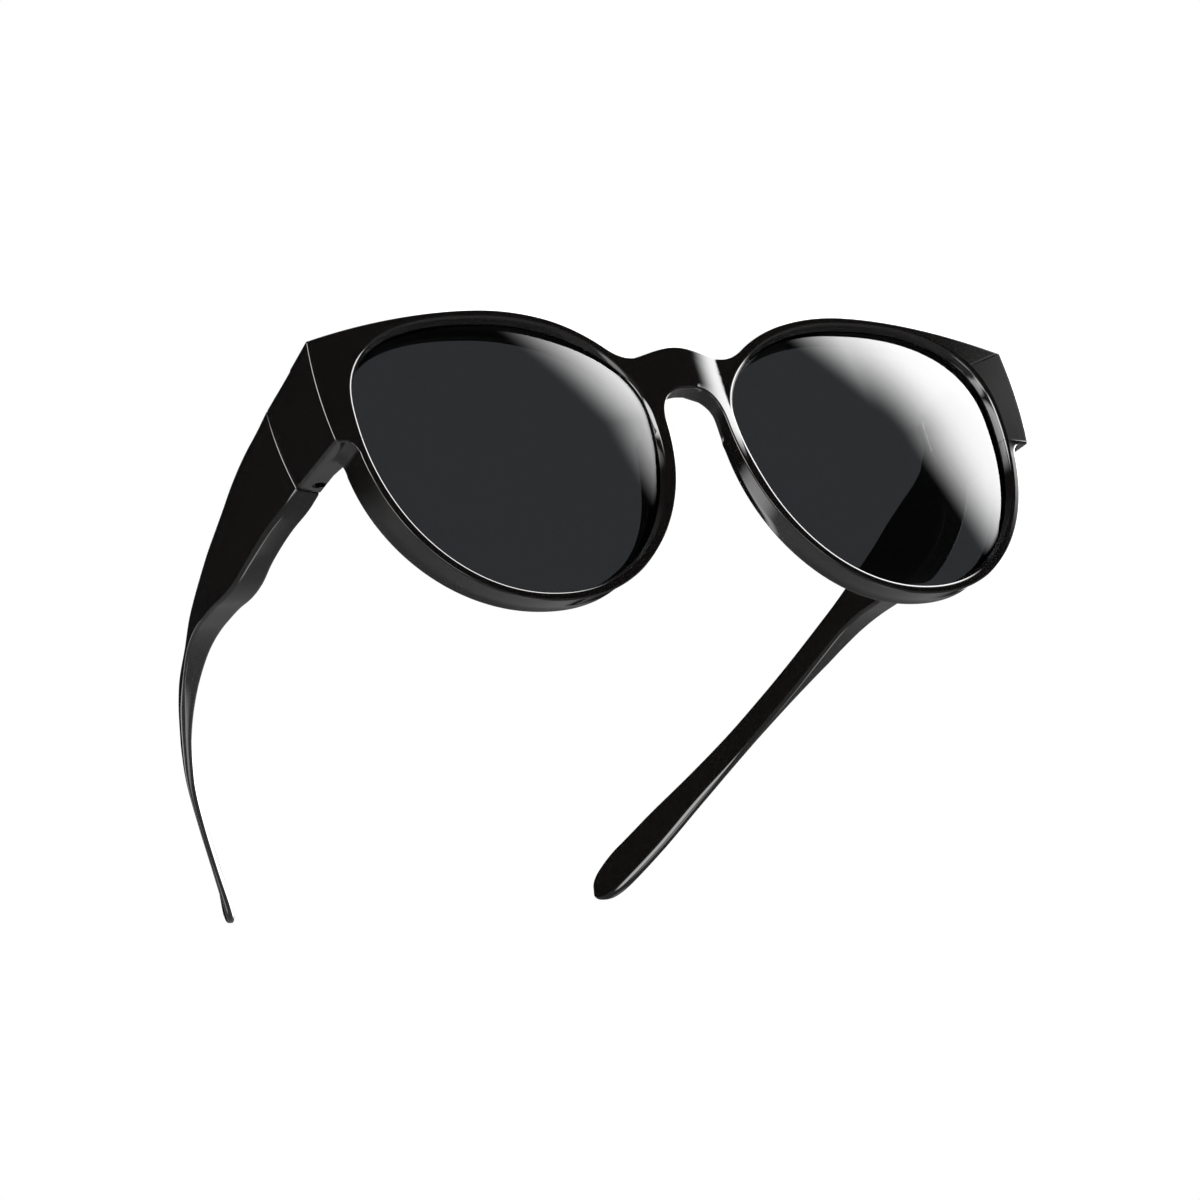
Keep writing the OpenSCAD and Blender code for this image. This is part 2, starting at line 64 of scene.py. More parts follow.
# Polar angles about the middle of a lens, in degrees from its outer side over the top: where
# the brow, the nose side and the outer side begin and end, and the corners of the outline.
brow_until, nose_from, nose_full, nose_fade, nose_end, nose_blend = 150, 180, 188, 196, 240, 20
side_from, side_full = 270, 340
valley_a, bridge_end_a, arch_a, arch_end_a, heel_a = 157, 165, 170, 184, 345
# Exponents of the opening's upper outer, upper inner and lower quarters, of the brow's fall
# and of the nose arch.
outer_n, inner_n, lower_n, brow_power, arch_power = 2.5, 2.0, 2.1, 1.8, 0.8


def mix(a, b, u):
    """Straight blend from a to b: a + (b - a) u."""
    return a + (b - a) * u


def rise(a, a0, a1):
    """Smooth step from 0 at a0 to 1 at a1: 3v^2 - 2v^3 of the share v between them."""
    v = np.clip((a - a0) / (a1 - a0), 0, 1)
    return v * v * (3 - 2 * v)


def parabola(start, corner, end, t):
    """Curve that leaves start towards the corner and reaches end from it: (1 - t)^2 start +
    2t (1 - t) corner + t^2 end."""
    return (1 - t) ** 2 * start + 2 * t * (1 - t) * corner + t ** 2 * end


def front_y(x):
    """Depth of the wrapped front surface: x^2 / 2R with the wrap radius R."""
    return x * x / (2 * front_r)


def opening(a):
    """Points and outward normals of a lens opening at the polar angles a. Each quarter is a
    superellipse |x/w|^n + |z/h|^n = 1 with its own n, and the normal is its gradient."""
    c, s = np.cos(np.radians(a)), np.sin(np.radians(a))
    n = np.where(s >= 0, np.where(c >= 0, outer_n, inner_n), lower_n)
    h = np.where(s >= 0, lens_up, lens_down)
    w = lens_w / 2
    r = ((np.abs(c) / w) ** n + (np.abs(s) / h) ** n) ** (-1 / n)
    gx = np.sign(c) * (np.abs(r * c) / w) ** (n - 1) / w
    gz = np.sign(s) * (np.abs(r * s) / h) ** (n - 1) / h
    g = np.hypot(gx, gz)
    return np.stack([lens_x + r * c, r * s], -1), np.stack([gx / g, gz / g], -1)


def nose_part(a):
    """Share of the nose side at the rim angles a: a smooth step up and a smooth step down."""
    return rise(a, nose_from, nose_full) * (1 - rise(a, nose_fade, nose_end))


def face_w(a):
    """Width of the rim's front face: the rim's, blended to the nose side's by smooth steps."""
    wide = rise(a, nose_from - nose_blend, nose_from) * (1 - rise(a, nose_fade, nose_end))
    return mix(rim_w, nose_w, wide)


def wall_d(a):
    """Depth of the rim: the brow's over the top and at the outer side, the nose side's at the
    nose and the rim's own between them, blended by smooth steps."""
    low = mix(mix(rim_d, brow_d, rise(a, side_from, side_full)), nose_d, nose_part(a))
    return np.where(a < nose_from, mix(brow_d, rim_d, rise(a, brow_until, nose_from)), low)


def inset(a):
    """How far the rim's outer wall is drawn in at its back, blended in the same way."""
    low = mix(mix(rim_inset, brow_inset, rise(a, side_from, side_full)), nose_flare, nose_part(a))
    return np.where(a < nose_from, brow_inset, low)


def rim_line(a):
    """Points and outward normals of the rim's outline: the opening moved out by the width of
    the front face."""
    p, n = opening(a)
    return p + face_w(a)[:, None] * n, n


def rounded(corners, cuts, steps=5):
    """Rounds each inner corner of open polylines (rows, corners, 2) with a parabola that starts
    and ends at the corner's cut distance, at most 0.45 of the edge."""
    p, before, after = corners[:, 1:-1], corners[:, :-2], corners[:, 2:]
    cut = np.asarray(cuts)[None, :, None]
    length_b = np.linalg.norm(before - p, axis=-1, keepdims=True)
    length_a = np.linalg.norm(after - p, axis=-1, keepdims=True)
    start = p + (before - p) * np.minimum(cut / length_b, 0.45)
    end = p + (after - p) * np.minimum(cut / length_a, 0.45)
    t = np.linspace(0, 1, steps + 1)[None, None, :, None]
    curve = parabola(start[:, :, None], p[:, :, None], end[:, :, None], t)
    return curve.reshape(len(corners), -1, 2)


def rim_sections(a, outline, normal, depth, draw):
    """Sections of the rim, one a row, as rounded polylines of the distance along the normal and
    the depth. The outer part follows the outline back and is drawn in from the kink on. The
    inner part follows the opening forward, over the rear lip, the groove and the front lip."""
    one = np.ones_like(a)
    # The first and the last point of each polyline, far out, only give its edges a direction.
    none, far = 0 * one, 4 * one
    kink = np.minimum(draw, nose_w - groove_wall)
    outer_line = [(far, none), (none, none), (kink, np.minimum(flare_from, depth - 2 * edge_r)),
                  (draw, depth), (draw + far, depth)]
    # Cut distances: face edge, kink, back edge.
    outer_cuts = [edge_r, 0.8, edge_r]
    back = np.minimum(-lip_back, face_w(a) - draw - back_wall - edge_r)
    behind = np.maximum(depth, rim_d)
    rear, ahead = (lens_back + lens_fit) * one, (lens_recess - lens_fit) * one
    inner_line = [(back + far, behind), (back, behind), (-lip_back * one, rear),
                  (groove_in * one, rear), (groove_in * one, ahead), (-lip_front * one, ahead),
                  (none, none), (far, none)]
    # Cut distances: back edge, rear lip, the groove's two corners, front lip, face edge.
    inner_cuts = [0.4, 0.12, 0.02, 0.02, 0.15, edge_r]
    parts = []
    for pairs, cuts, p, n in ((outer_line, outer_cuts, outline, -normal),
                              (inner_line, inner_cuts, *opening(a))):
        q = rounded(np.stack([np.stack(pair, -1) for pair in pairs], 1), cuts)
        parts.append(np.stack([p[:, :1] + n[:, :1] * q[..., 0], front_y(p[:, :1]) + q[..., 1],
                               p[:, 1:] + n[:, 1:] * q[..., 0]], -1))
    return parts


def brow_z(x):
    """Top line of the front over a lens: it falls to the corner with a power of the distance
    from the middle of the lens."""
    fall = (np.abs(x - lens_x) / (end_x - lens_x)) ** brow_power
    return rim_top - (rim_top - end_top - edge_r) * fall


corner_z = float(brow_z(end_x - arm_r))
corner_points, side_points = 7, 9


def arm_sections(xi, xo, z0, z1, r, lean, lean_in, crown, bevel, facet=0):
    """Rounded four-sided sections in x and z, one a row, from the lower outer corner round:
    inner and outer side xi and xo, bottom and top z0 and z1, quarter circles of radius r. The
    outer side is crowned by a parabola. A bevel of the given width at the lower outer corner and
    a facet of the given height at the lower inner one are quarter ellipses twice as high as
    wide. The sides lean outwards in proportion to the height."""
    xi, xo, z0, z1, r, lean, lean_in, crown, bevel, facet = (
        np.asarray(v, float)[:, None] for v in np.broadcast_arrays(
            xi, xo, z0, z1, r, lean, lean_in, crown, bevel, facet))
    bx, fx = np.maximum(r, bevel), np.maximum(r, facet / 2)
    bz, fz = (np.minimum(np.maximum(r, 2 * v), (z1 - z0) / 2) for v in (bevel, facet / 2))
    t = np.radians(np.linspace(0, 90, corner_points))[None]
    u = np.linspace(0, 1, side_points + 2)[None, 1:-1]
    bulge = 1 - (2 * u - 1) ** 2
    xs = [xo - bx + bx * np.sin(t), xo + crown * bulge, xo - r + r * np.cos(t),
          xi + r - r * np.sin(t), xi + 0 * bulge, xi + fx - fx * np.cos(t)]
    zs = [z0 + bz - bz * np.cos(t), mix(z0 + bz, z1 - r, u), z1 - r + r * np.sin(t),
          z1 - r + r * np.cos(t), mix(z1 - r, z0 + fz, u), z0 + fz - fz * np.sin(t)]
    full = np.ones_like(xi)
    x = np.concatenate([v * full for v in xs], 1)
    z = np.concatenate([v * full for v in zs], 1)
    share = np.clip((xo - x) / (xo - xi), 0, 1)
    return np.stack([x + mix(lean, lean_in, share) * (z - z0) / (z1 - z0), z], -1)


def outline_normals(line):
    """Outward normals of a line that runs anticlockwise seen from the front: its direction
    turned by a right angle."""
    d = np.gradient(line, axis=0)
    n = np.stack([d[:, 1], -d[:, 0]], -1)
    return n / np.linalg.norm(n, axis=-1, keepdims=True)


# The outline of half the front in stretches, each with its angles, points, normals, depths and
# draws. First come the brow and the rim over the lens.
stretches = []
x = np.linspace(end_x - arm_r, lens_x, 60)[:-1]
line = np.stack([x, brow_z(x)], -1)
stretches.append((np.degrees(np.arctan2(line[:, 1], x - lens_x)), line,
                  np.abs(outline_normals(line)), brow_d, brow_inset))
a = np.linspace(90, valley_a, 60)[:-1]
stretches.append((a, *rim_line(a), wall_d(a), inset(a)))
# The bridge, from the valley beside the rim up to the middle plane, and down that plane.
u = np.linspace(0, 1, 25)
valley = rim_line(np.array([valley_a]))[0][0]
line = np.stack([mix(valley[0], 0, u), mix(valley_z, bridge_top, rise(u, 0, 1))], -1)
n = outline_normals(line)
n[-1] = [0, 1]
stretches.append((mix(valley_a, bridge_end_a, u), line, n,
                  mix(wall_d(valley_a), bridge_d, rise(u, 0, bridge_ramp)), brow_inset * (1 - u)))
arch_top = bridge_top - bridge_h
middle_u = np.linspace(0, 1, 9)[1:-1]
line = np.stack([0 * middle_u, mix(bridge_top, arch_top, middle_u)], -1)
stretches.append((mix(bridge_end_a, arch_a, middle_u), line,
                  np.tile([0.0, 1.0], (len(middle_u), 1)), bridge_d, 0.0))
# The nose arch, a quarter of a superellipse, and the rim under the lens.
u = np.linspace(0, 1, 41)
t = np.radians(90 * u)
a = mix(arch_a, arch_end_a, u)
arch_end = rim_line(np.array([arch_end_a]))[0][0]
line = np.stack([arch_end[0] * np.sin(t) ** arch_power,
                 mix(arch_end[1], arch_top, np.cos(t) ** arch_power)], -1)
stretches.append((a, line, np.stack([-np.sin(t), -np.cos(t)], -1),
                  mix(bridge_d, wall_d(a), rise(a, nose_from, nose_full)),
                  inset(a) * u * nose_part(a)))
a = np.linspace(arch_end_a, heel_a, 150)[1:-1]
stretches.append((a, *rim_line(a), wall_d(a), inset(a)))
# The heel, a quarter of an ellipse under the end piece, and the end piece's own outline.
u = np.linspace(0, 1, 24)
t = np.radians(90 * u)
heel = rim_line(np.array([heel_a]))[0][0]
heel_end = end_x - (end_reach - groove_wall) / 2
line = np.stack([mix(heel[0], heel_end, 1 - np.cos(t)), mix(heel[1], end_low, np.sin(t))], -1)
low_corner_a = 360 + math.degrees(math.atan2(end_low, end_x - lens_x))
stretches.append((mix(heel_a, low_corner_a, u), line, np.stack([np.cos(t), -np.sin(t)], -1),
                  brow_d, mix(brow_inset, end_inset, rise(u, 0, 0.6))))
corner = arm_sections([lens_x], [end_x - lean_front], [end_low], [corner_z], arm_r, lean_front,
                        lean_front, end_crown, 0)[0]
line = corner[:2 * corner_points + side_points]
stretches.append((360 + np.degrees(np.arctan2(line[:, 1], line[:, 0] - lens_x)), line,
                  outline_normals(line), brow_d,
                  mix(end_inset, brow_inset, rise(line[:, 1], end_low, end_top))))

# A small fillet between rim and bridge: the points and normals beside the valley follow one
# parabola.
fillet = 6
fillet_t = np.linspace(0, 1, 2 * fillet + 1)[:, None]
for k in (1, 2):
    rim_end, bridge_start = stretches[1][k][-fillet:], stretches[2][k][:fillet + 1]
    bent = parabola(rim_end[0], bridge_start[0], bridge_start[-1], fillet_t)
    rim_end[:], bridge_start[:] = bent[:fillet], bent[fillet:]
parts = []
for a, line, n, depth, draw in stretches:
    one = np.ones(len(line))
    parts.append(rim_sections(a * one, line, n, depth * one, draw * one))
outer, inner = ([part[k] for part in parts] for k in (0, 1))
# In the middle plane the outer part blends straight from the bridge's to the nose arch's.
outer[3] = mix(outer[2][-1], outer[4][0], middle_u[:, None, None])
outer, inner = np.concatenate(outer), np.concatenate(inner)
across = np.linspace(0, 1, 17)[None, 1:-1, None]
ring = np.concatenate([outer, inner, mix(inner[:, -1:], outer[:, :1], across)], 1)
# The bridge's face is crowned: it falls back with the square of the distance from the middle
# and rises again over the rims. Only what lies near the face and above the lower rims moves.
crown_h, crown_x, crown_end, crown_d = 0.95, 8.2, 26.0, lens_recess - 0.4
crown_low, crown_full = -14, 4
x, z = np.abs(ring[..., 0]), ring[..., 2]
shallow = np.clip(1 - (ring[..., 1] - front_y(x)) / crown_d, 0, 1)
fall = np.where(x < crown_x, (x / crown_x) ** 2, 1 - rise(x, crown_x, crown_end))
ring[..., 1] += crown_h * (fall * rise(z, crown_low, crown_full)) * shallow

# The pair stands a little tipped on the rims and the temple tips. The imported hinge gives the
# tilt and the place, from where its pin is in the upright position beside the seam.
end_t, end_draw, end_fall = 5.3, 0.8, 0.5
seam_h, seam_y, seam_back, seam_rake, lean_seam = 17.2, 22.0, 1.6, 1.8, 1.4
pin_in, pin_ahead = 1.5, 4.3
seam_x = end_x - end_draw
seam_top = end_top - end_fall
seam_low = seam_top - seam_h
hinge_z = (seam_top + seam_low) / 2
inner_x = seam_x - lean_seam - end_t


def seam_at(x, z):
    """Depth of the seam plane: further back towards the inside and the top, in proportion."""
    inwards, upwards = seam_x - lean_seam - x, z - seam_low
    return seam_y + inwards * seam_back / end_t + upwards * seam_rake / seam_h


pin = next(j for j in frame["joints"] if j["name"] == "fold_right")
tilt_s, tilt_c = pin["axis"][1], pin["axis"][2]
tilt = np.array([[1, 0, 0], [0, tilt_c, tilt_s], [0, -tilt_s, tilt_c]])
pin_x, pin_y = inner_x - pin_in, seam_at(inner_x, hinge_z) - pin_ahead
offset = np.array(pin["pos_m"]) * 1000 - tilt @ [pin_x, pin_y, hinge_z]


def stand(points):
    """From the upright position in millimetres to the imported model's frame in metres: tilted,
    moved and divided by 1000."""
    return (np.asarray(points, float) @ tilt.T + offset) / 1000


def skin_quads(rows, columns, around):
    """Quads of a grid whose columns close, and whose rows close too if around is true."""
    i = np.arange(rows if around else rows - 1)[:, None]
    j = np.arange(columns)[None]
    k, m = (i + 1) % rows, (j + 1) % columns
    corners = [i * columns + j, k * columns + j, k * columns + m, i * columns + m]
    return np.stack(corners, -1).reshape(-1, 4)


def make_piece(name, points, face_groups, sides, weld=0.0005):
    """Mesh object from points in millimetres and arrays of faces (faces, corners). A side of -1
    is the mirror image, with its faces turned round. Points closer than weld are merged, and
    all normals point outwards."""
    mesh = bpy.data.meshes.new(name)
    all_points, all_faces = [], []
    for k, side in enumerate(sides):
        all_points.append(stand(points * [side, 1, 1]))
        for faces in face_groups:
            all_faces += (faces[:, ::side] + k * len(points)).tolist()
    mesh.from_pydata(np.concatenate(all_points), [], all_faces)
    bm = bmesh.new()
    bm.from_mesh(mesh)
    bmesh.ops.remove_doubles(bm, verts=bm.verts, dist=weld / 1000)
    bmesh.ops.delete(bm, geom=[v for v in bm.verts if not v.link_faces], context="VERTS")
    bmesh.ops.recalc_face_normals(bm, faces=bm.faces)
    bm.to_mesh(mesh)
    bm.free()
    piece = bpy.data.objects.new(name, mesh)
    bpy.context.scene.collection.objects.link(piece)
    return piece


# The halves meet in the middle plane, so its outer faces are left out.
quads = skin_quads(ring.shape[0], ring.shape[1], True)
row, column = np.divmod(quads[:, 0], ring.shape[1])
first_middle = sum(len(s[1]) for s in stretches[:3]) - 1
last_middle = first_middle + len(middle_u) + 1
hidden = (row >= first_middle) & (row < last_middle) & (column < outer.shape[1] - 1)
front = make_piece("front_moulding", ring.reshape(-1, 3), [quads[~hidden]], (1, -1), weld=0.002)

# The end pieces: walls that run back from the corners to the seam, thickened in a gusset behind
# the rim, with a pocket for the hinge and a keyhole-shaped recess underneath. They are moulded
# in one with the front.
knuckle_d, knuckle_h, knuckle_gap, knuckle_room = 3.2, 2.6, 0.06, 0.3
leaf_t, leaf_len, hinge_fit, pocket_open, pocket_back = 1.1, 10.0, 0.05, 0.5, 5.9
room_below, room_above = 1.25, 0.45
recess_r, slot_r, recess_d, recess_out, slot_in = 1.15, 0.75, 2.2, 0.65, 0.35
seam_r = 0.25
# Depths of the sections: over the rounded front edge, along the wall and round the seam's edge.
arm_from = brow_d + edge_r
front_turn = np.radians(np.linspace(20, 90, 6))
seam_turn = np.linspace(0, np.pi / 2, 5)
y = np.concatenate([edge_r * (1 - np.cos(front_turn)), np.linspace(1.2, arm_from, 5),
                    np.linspace(arm_from + 0.5, 20, 16),
                    seam_y - seam_r * (1 - np.sin(seam_turn))])
shrink = np.zeros_like(y)
shrink[:len(front_turn)] = edge_r * (1 - np.sin(front_turn))
shrink[-len(seam_turn):] = seam_r * (1 - np.cos(seam_turn))
u = y / seam_y
lean = mix(lean_front, lean_seam, u)
xo = mix(end_x, seam_x, u) - lean
gusset_y = mix(arm_from, seam_y, np.array([0.02, 0.07, 0.2, 0.36, 0.6, 1]))
gusset = np.interp(y, gusset_y, [1, 1, 1.15, 1.1, 1, 1])
xi = np.where(y <= arm_from, np.maximum(xo - end_t / 2, lens_x + lens_w / 2 + groove_wall),
              xo - end_t * gusset)
wall_line = arm_sections(xi + shrink, xo - shrink, mix(end_low, seam_low, u) + shrink,
                           mix(corner_z, seam_top, u) - shrink, np.maximum(arm_r - shrink, 0.1),
                           lean, lean, end_crown, 0)
# The sections lie in the wrapped front surface as far as the rim goes, and turn into the seam
# plane from 14 mm on.
wrap_until, turn_from = 9, 14
wrapped = y[:, None] + np.where(y < wrap_until, 1, 0)[:, None] * front_y(wall_line[..., 0])
seamed = seam_at(wall_line[..., 0], wall_line[..., 1]) + (y - seam_y)[:, None]
wall_y = mix(wrapped, seamed, rise(y, turn_from, seam_y)[:, None])
end_wall = np.stack([wall_line[..., 0], wall_y, wall_line[..., 1]], -1)


def closed_skin(points):
    """Points and face arrays of a skin through a row of closed sections (rows, columns, 3),
    with flat ends: the grid's quads and the first and last section as faces."""
    count, columns = points.shape[:2]
    first = np.arange(columns)
    ends = np.stack([first, first[::-1] + (count - 1) * columns])
    return points.reshape(-1, 3), [skin_quads(count, columns, False), ends]


def oval(cx, cy, rx, ry, corners):
    """Closed polygon in x and y on an ellipse about (cx, cy) with the radii rx and ry. Four
    corners make the box round that ellipse."""
    t = np.radians(180 / corners + 360 / corners * np.arange(corners))
    k = math.sqrt(2) if corners == 4 else 1
    return np.stack([cx + rx * k * np.cos(t), cy + ry * k * np.sin(t)], -1)


def prism(line, z0, z1):
    """Two sections: the closed line in x and y at the heights z0 and z1."""
    return np.stack([np.concatenate([line, np.full((len(line), 1), z)], -1) for z in (z0, z1)])


# The cuts: round the knuckles, round the leaf, and the keyhole's round and its slot.
hinge_h = 3 * knuckle_h + 2 * knuckle_gap
pocket_low, pocket_top = hinge_z - hinge_h / 2 - hinge_fit, hinge_z + hinge_h / 2 + hinge_fit
recess_x, slot_end = seam_x - lean_seam - end_t / 2 - recess_out, inner_x + slot_in
knuckle_r = knuckle_d / 2 + knuckle_room
end_cuts = [
    prism(oval(pin_x, pin_y, knuckle_r, knuckle_r, 48),
          pocket_low - room_below, pocket_top + room_above),
    prism(oval(inner_x + (leaf_t + hinge_fit - pocket_open) / 2,
               pin_y - leaf_len / 2 + pocket_back / 2, (leaf_t + hinge_fit + pocket_open) / 2,
               (leaf_len + pocket_back + hinge_fit) / 2, 4), pocket_low, pocket_top),
    prism(oval(recess_x, pin_y, recess_r, recess_r, 32), seam_low - 0.5, seam_low + recess_d),
    prism(oval((recess_x + slot_end) / 2, pin_y, (recess_x - slot_end) / 2, slot_r, 4),
          seam_low - 0.5, seam_low + recess_d)]


def combine(piece, others, operation):
    """Cuts the other closed meshes from the piece's, or joins them to it. They are removed."""
    for other in others:
        step = piece.modifiers.new(operation, "BOOLEAN")
        step.operation = operation
        step.solver = "MANIFOLD"
        step.object = other
    solved = piece.evaluated_get(bpy.context.evaluated_depsgraph_get())
    mesh = bpy.data.meshes.new_from_object(solved)
    piece.modifiers.clear()
    piece.data = mesh
    for other in others:
        bpy.data.objects.remove(other)


def smooth(piece, angle):
    """Smooth shading with edges sharper than angle kept, and normals weighted by face area."""
    piece.data.shade_smooth()
    piece.data.set_sharp_from_angle(angle=math.radians(angle))
    weights = piece.modifiers.new("face weights", "WEIGHTED_NORMAL")
    weights.keep_sharp = True
    weights.weight = 60


for side in (1, -1):
    wall = make_piece("end_wall", *closed_skin(end_wall), (side,))
    cutters = [make_piece("end_cut", *closed_skin(cut), (side,)) for cut in end_cuts]
    combine(wall, cutters, "DIFFERENCE")
    combine(front, [wall], "UNION")
smooth(front, 40)


def moulding_marks():
    """Node group with the faint unevenness of a polished moulding. The roughness is gloss +
    spread * (cloud + specks), with a noise over about two centimetres as the cloud and the
    peaks of a fine noise as rubbed specks. The normal has the slight waviness of a third noise."""
    group = bpy.data.node_groups.new("moulding marks", "ShaderNodeTree")
    for name, value in (("Gloss", 0.06), ("Spread", 0.05), ("Waviness", 0.02)):
        socket = group.interface.new_socket(name, in_out="INPUT", socket_type="NodeSocketFloat")
        socket.default_value = value
    group.interface.new_socket("Roughness", in_out="OUTPUT", socket_type="NodeSocketFloat")
    group.interface.new_socket("Normal", in_out="OUTPUT", socket_type="NodeSocketVector")
    add, link = group.nodes.new, group.links.new
    inputs, outputs = add("NodeGroupInput"), add("NodeGroupOutput")
    place = add("ShaderNodeTexCoord")
    cloud, specks, waves = (add("ShaderNodeTexNoise") for _ in range(3))
    for node, scale, detail in ((cloud, 60, 3), (specks, 2600, 2), (waves, 45, 1)):
        node.inputs["Scale"].default_value = scale
        node.inputs["Detail"].default_value = detail
        link(place.outputs["Object"], node.inputs["Vector"])
    rubbed = add("ShaderNodeMapRange")
    rubbed.inputs["From Min"].default_value = 0.62
    rubbed.inputs["From Max"].default_value = 0.8
    link(specks.outputs["Fac"], rubbed.inputs["Value"])
    uneven = add("ShaderNodeMath")
    uneven.operation = "ADD"
    link(cloud.outputs["Fac"], uneven.inputs[0])
    link(rubbed.outputs["Result"], uneven.inputs[1])
    rough = add("ShaderNodeMath")
    rough.operation = "MULTIPLY_ADD"
    link(uneven.outputs[0], rough.inputs[0])
    link(inputs.outputs["Spread"], rough.inputs[1])
    link(inputs.outputs["Gloss"], rough.inputs[2])
    bump = add("ShaderNodeBump")
    bump.inputs["Distance"].default_value = 0.0002
    link(inputs.outputs["Waviness"], bump.inputs["Strength"])
    link(waves.outputs["Fac"], bump.inputs["Height"])
    link(rough.outputs[0], outputs.inputs["Roughness"])
    link(bump.outputs["Normal"], outputs.inputs["Normal"])
    return group


def finish_with(name, marks, gloss, spread, waviness, **sockets):
    """Principled material with the marks group on its roughness and normal, and every other
    value on the shader's own socket."""
    material = bpy.data.materials.new(name)
    material.use_nodes = True
    shader = material.node_tree.nodes["Principled BSDF"]
    for socket, value in sockets.items():
        shader.inputs[socket.replace("_", " ")].default_value = value
    uneven = material.node_tree.nodes.new("ShaderNodeGroup")
    uneven.node_tree = marks
    for socket, value in (("Gloss", gloss), ("Spread", spread), ("Waviness", waviness)):
        uneven.inputs[socket].default_value = value
    material.node_tree.links.new(uneven.outputs["Roughness"], shader.inputs["Roughness"])
    material.node_tree.links.new(uneven.outputs["Normal"], shader.inputs["Normal"])
    return material


marks = moulding_marks()
black_plastic = finish_with("polished black plastic", marks, 0.045, 0.02, 0.01,
                            Base_Color=(0.0017, 0.0015, 0.0014, 1), IOR=1.5)
front.data.materials.clear()
front.data.materials.append(black_plastic)
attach(front, "front")
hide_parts("front_frame")

# The lenses: two bulged sheets of dark grey polymer, ground to the outline of the groove, with
# a small bevel, and snapped in from behind. They are polished on both faces.
lens_bulge, lens_free, lens_bevel = 2.5, 0.97, 0.12
lens_pole = np.array([[lens_x, -6.0]])
lens_turn = np.linspace(0, 360, 241)[:-1]
edge, edge_n = opening(lens_turn)
edge = edge + (groove_in - lens_fit) * edge_n


def lens_face(depth, shares):
    """Rings of one face, from shares of the way between the pole and the bevelled edge. The
    depth is that of the wrapped front surface plus depth, less the bulge B (1 - (s/f)^2) inside
    the share f that the groove leaves free."""
    flat = mix(lens_pole, edge - lens_bevel * edge_n, shares[:, None, None])
    bulge = lens_bulge * np.maximum(0, 1 - (shares / lens_free) ** 2)[:, None]
    return np.stack([flat[..., 0], depth + front_y(flat[..., 0]) - bulge, flat[..., 1]], -1)


# The rings lie closer together towards the edge, and closest at the bevel.
shares = np.concatenate([np.sin(np.linspace(0, np.pi / 2 - 0.12, 26))[1:], [0.9975, 1]])
lens_side = np.stack([np.stack([edge[:, 0], depth + front_y(edge[:, 0]), edge[:, 1]], -1)
                      for depth in (lens_recess + lens_bevel, lens_back - lens_bevel)])
lens_skin = closed_skin(np.concatenate([lens_face(lens_recess, shares), lens_side,
                                        lens_face(lens_back, shares[::-1])]))
lens_tint = finish_with("dark grey lens", marks, 0.0, 0.012, 0.0,
                        Base_Color=(0.026, 0.0272, 0.0295, 1), Transmission_Weight=1.0, IOR=1.5)
for side, name in ((1, "right"), (-1, "left")):
    lens = make_piece("lens_sheet_" + name, *lens_skin, (side,))
    smooth(lens, 30)
    lens.data.materials.append(lens_tint)
    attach(lens, "front")
    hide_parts("lens_" + name)

# The temples: two moulded side arms of the same plastic. They are deep at the seam, thin out to
# a slim shaft and end in a paddle that curves down and in. The hinge leaf is let into the inner
# face at the seam.
temple_len, temple_bow, temple_sweep, temple_drop = 125.3, 5.1, 28.6, 34.6
shaft_h, paddle_h, shaft_t = 6.1, 9.2, 2.0
temple_bevel, temple_r, paddle_facet = 1.6, 0.9, 2.2
seam_gap, tip_from = 0.15, 0.93
# Each row has the share of the length, the bow, the sweep and the drop, the shares of the
# seam's and the paddle's extra height, the thickness share, the outer and inner lean, and the
# bevel share.
temple_stations = np.array([
    [0, 0, 0, 0, 1, 0, 1, 1, 1, 0],
    [0.04, 0.39, 0, 0.07, 0.985, 0, 1.08, 0.57, 1.42, 0],
    [0.065, 0.59, 0, 0.1, 0.964, 0, 1.06, 0.25, 1.6, 0],
    [0.13, 0.88, 0, 0.168, 0.937, 0, 1.06, -0.5, 1.55, 0],
    [0.186, 0.97, 0, 0.211, 0.865, 0, 1.27, -1.05, 1.25, 0],
    [0.226, 1, 0, 0.228, 0.73, 0, 1.36, -1.3, 1.1, 0],
    [0.266, 1, 0, 0.236, 0.55, 0, 1.31, -1.48, 0.95, 0],
    [0.307, 0.94, 0, 0.246, 0.378, 0, 1.27, -1.6, 0.85, 0],
    [0.347, 0.84, 0, 0.256, 0.225, 0, 1.21, -1.65, 0.8, 0.06],
    [0.402, 0.7, 0.015, 0.281, 0.09, 0, 1, -1.55, 0.72, 0.2],
    [0.4625, 0.5, 0.037, 0.325, 0.036, 0, 0.73, -1.55, 0.5, 0.45],
    [0.543, 0.3, 0.088, 0.398, 0.01, 0, 0.485, -1.15, 0.27, 1],
    [0.624, 0.15, 0.191, 0.483, 0, 0, 0.18, -0.75, 0.27, 0.85],
    [0.7035, 0.05, 0.32, 0.581, 0, 0.065, 0.03, -0.35, 0.43, 0.55],
    [0.784, 0, 0.5, 0.707, 0, 0.355, -0.03, 0, 0.36, 0.37],
    [0.865, 0, 0.7, 0.838, 0, 0.84, -0.03, 0, 0.43, 0.3],
    [0.935, 0, 0.867, 0.944, 0, 0.93, 0.06, 0, 0.57, 0.3],
    [0.9685, 0, 0.94, 0.982, 0, 0.97, 0.09, 0.07, 0.6, 0.3],
    [1, 0, 1, 1, 0, 1, 0.09, 0.1, 0.3, 0.2]])


